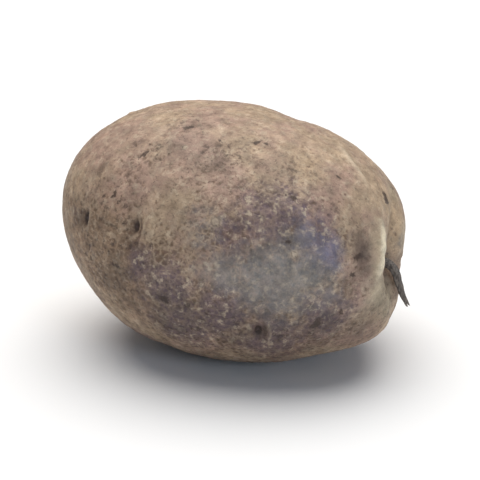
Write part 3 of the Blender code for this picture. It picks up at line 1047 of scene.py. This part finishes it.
def stolon_path(share):
    """The middle of the stolon, which leaves its socket, bends and droops."""
    first = STOLON_ROOT + STOLON_OUT
    second = STOLON_TIP - STOLON_DROP
    rest = 1.0 - share
    return (STOLON_ROOT * rest ** 3 + first * 3 * rest ** 2 * share
            + second * 3 * rest * share ** 2 + STOLON_TIP * share ** 3)


def stolon_radius(share, angle):
    """Dried, shrunken fibres: ridges and hairs that twist along it, knots and a collar."""
    shrunk = share ** STOLON_TAPER
    taper = STOLON_ROOT_RADIUS + (STOLON_TIP_RADIUS - STOLON_ROOT_RADIUS) * shrunk
    taper *= 1.0 + COLLAR_SWELL * math.exp(-((share - COLLAR_SHARE) / COLLAR_SPREAD) ** 2)
    ridges = FIBRE_DEPTH * math.cos(FIBRES * angle + FIBRE_TWIST * share)
    bent = HAIR_SWAY * math.sin(HAIR_PACE * share) - HAIR_TWIST * share
    hairs = HAIR_DEPTH * math.cos(HAIRS * angle + bent)
    knots = KNOT_DEPTH * math.sin(KNOT_PACE * share) * math.cos(angle + KNOT_TWIST * share)
    return taper * (1.0 + (ridges + hairs + knots) * min(1.0, ROOT_RELIEF + share))


def stolon_ring(share):
    """Points round the stolon at a share of its length, in the tuber's own frame."""
    centre = stolon_path(share)
    ahead, behind = min(share + HEADING_STEP, 1.0), max(share - HEADING_STEP, 0.0)
    heading = (stolon_path(ahead) - stolon_path(behind)).normalized()
    sideways = heading.cross(Vector((0.0, 1.0, 0.0))).normalized()
    upright = heading.cross(sideways)
    ring = []
    for side in range(STOLON_SIDES):
        angle = 2.0 * math.pi * side / STOLON_SIDES
        torn = math.sin(TORN_TEETH * angle) * math.sin(TORN_WAVES * angle + 1.0)
        torn *= TORN_LENGTH * share ** TORN_TIP
        radius = stolon_radius(share, angle)
        ring.append(centre + sideways * radius * math.cos(angle)
                    + upright * radius * math.sin(angle) + heading * torn)
    return ring


def stolon_faces(hubs):
    """Quads between the rings, and a fan from a hub at each end."""
    faces = []
    last = (STOLON_RINGS - 1) * STOLON_SIDES
    root_hub, tip_hub = hubs
    for side in range(STOLON_SIDES):
        beside = (side + 1) % STOLON_SIDES
        for low in range(0, last, STOLON_SIDES):
            faces.append((low + side, low + beside, low + beside + STOLON_SIDES,
                          low + side + STOLON_SIDES))
        faces.append((beside, side, root_hub))
        faces.append((last + side, last + beside, tip_hub))
    return faces


def make_stolon(shift):
    points = []
    for step in range(STOLON_RINGS):
        points.extend(stolon_ring(step / (STOLON_RINGS - 1)))
    hubs = (len(points), len(points) + 1)
    points.extend((STOLON_ROOT, STOLON_TIP - STOLON_DROP * TIP_HOLLOW))
    places = np.array(points)
    return add_piece("dried_stolon", leaned(places) + shift, stolon_faces(hubs),
                     {"place": places / MM})


def stolon_material():
    material, tree, shader = new_material("dried_stolon_fibre")
    place = tree.place()
    fibre = tree.noise(tree.vector("MULTIPLY", place, FIBRE_SQUEEZE), *FIBRE_NOISE)
    blotch = tree.noise(place, *BLOTCH_NOISE)
    base = tree.mixed(tree.ramp(fibre, *STOLON_FIBRES), STOLON_DARK, STOLON_PALE)
    base = tree.mixed(tree.ramp(blotch, *STOLON_BLOTCHES), base, STOLON_BROWN)
    put(shader["Base Color"], base)
    put(shader["Roughness"], tree.ramp(fibre, *STOLON_ROUGHNESS))
    put(shader["Normal"], tree.bumped(tree.times(fibre, STOLON_BUMP), STOLON_BUMP_STRENGTH))
    return material


def make_floor():
    """A sheet of plain pale paper, with faint clouds in its colour."""
    half = FLOOR_HALF
    mesh = bpy.data.meshes.new("floor")
    mesh.from_pydata([(-half, -half, 0), (half, -half, 0), (half, half, 0), (-half, half, 0)],
                     [], [(0, 1, 2, 3)])
    floor = bpy.data.objects.new("floor", mesh)
    bpy.context.collection.objects.link(floor)
    material, tree, shader = new_material("pale_paper")
    cloud = tree.noise(tree.node("ShaderNodeTexCoord").outputs["Object"], PAPER_CLOUD)
    put(shader["Base Color"], tree.mixed(cloud, PAPER_DIM, PAPER_BRIGHT))
    shader["Roughness"].default_value = PAPER_ROUGHNESS
    mesh.materials.append(material)


def add_light(name, place, size, power, tone):
    """A round lamp that faces the potato."""
    data = bpy.data.lights.new(name, "AREA")
    data.shape = "DISK"
    data.size = size
    data.energy = power
    data.color = tone
    light = bpy.data.objects.new(name, data)
    light.location = place
    facing = Vector(LIT_MIDDLE) - Vector(place)
    light.rotation_euler = facing.to_track_quat("-Z", "Y").to_euler()
    bpy.context.collection.objects.link(light)


def make_lights():
    for light in LIGHTS:
        add_light(*light)
    world = bpy.data.worlds.new("studio")
    world.use_nodes = True
    background = world.node_tree.nodes["Background"]
    background.inputs["Color"].default_value = SKY
    background.inputs["Strength"].default_value = SKY_STRENGTH
    bpy.context.scene.world = world


def make_camera():
    azimuth, elevation = math.radians(AZIMUTH), math.radians(ELEVATION)
    back = Vector((math.sin(azimuth) * math.cos(elevation),
                   -math.cos(azimuth) * math.cos(elevation), math.sin(elevation)))
    data = bpy.data.cameras.new("camera")
    data.lens = LENS
    data.sensor_width = SENSOR_WIDTH
    data.clip_end = VIEW_END
    camera = bpy.data.objects.new("camera", data)
    camera.location = VIEW_MIDDLE + back * (VIEW_WIDTH * LENS / SENSOR_WIDTH)
    camera.rotation_euler = (-back).to_track_quat("-Z", "Y").to_euler()
    bpy.context.collection.objects.link(camera)
    bpy.context.scene.camera = camera


skin, shift = make_skin()
raise_net(skin)
press_flat(skin)
skin.data.materials.append(skin_material())
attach(skin, "root")
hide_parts("tuber")

stolon = make_stolon(shift)
stolon.data.materials.append(stolon_material())
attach(stolon, "root")
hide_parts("stolon")

make_floor()
make_lights()
make_camera()
bpy.context.scene.view_settings.view_transform = "Standard"
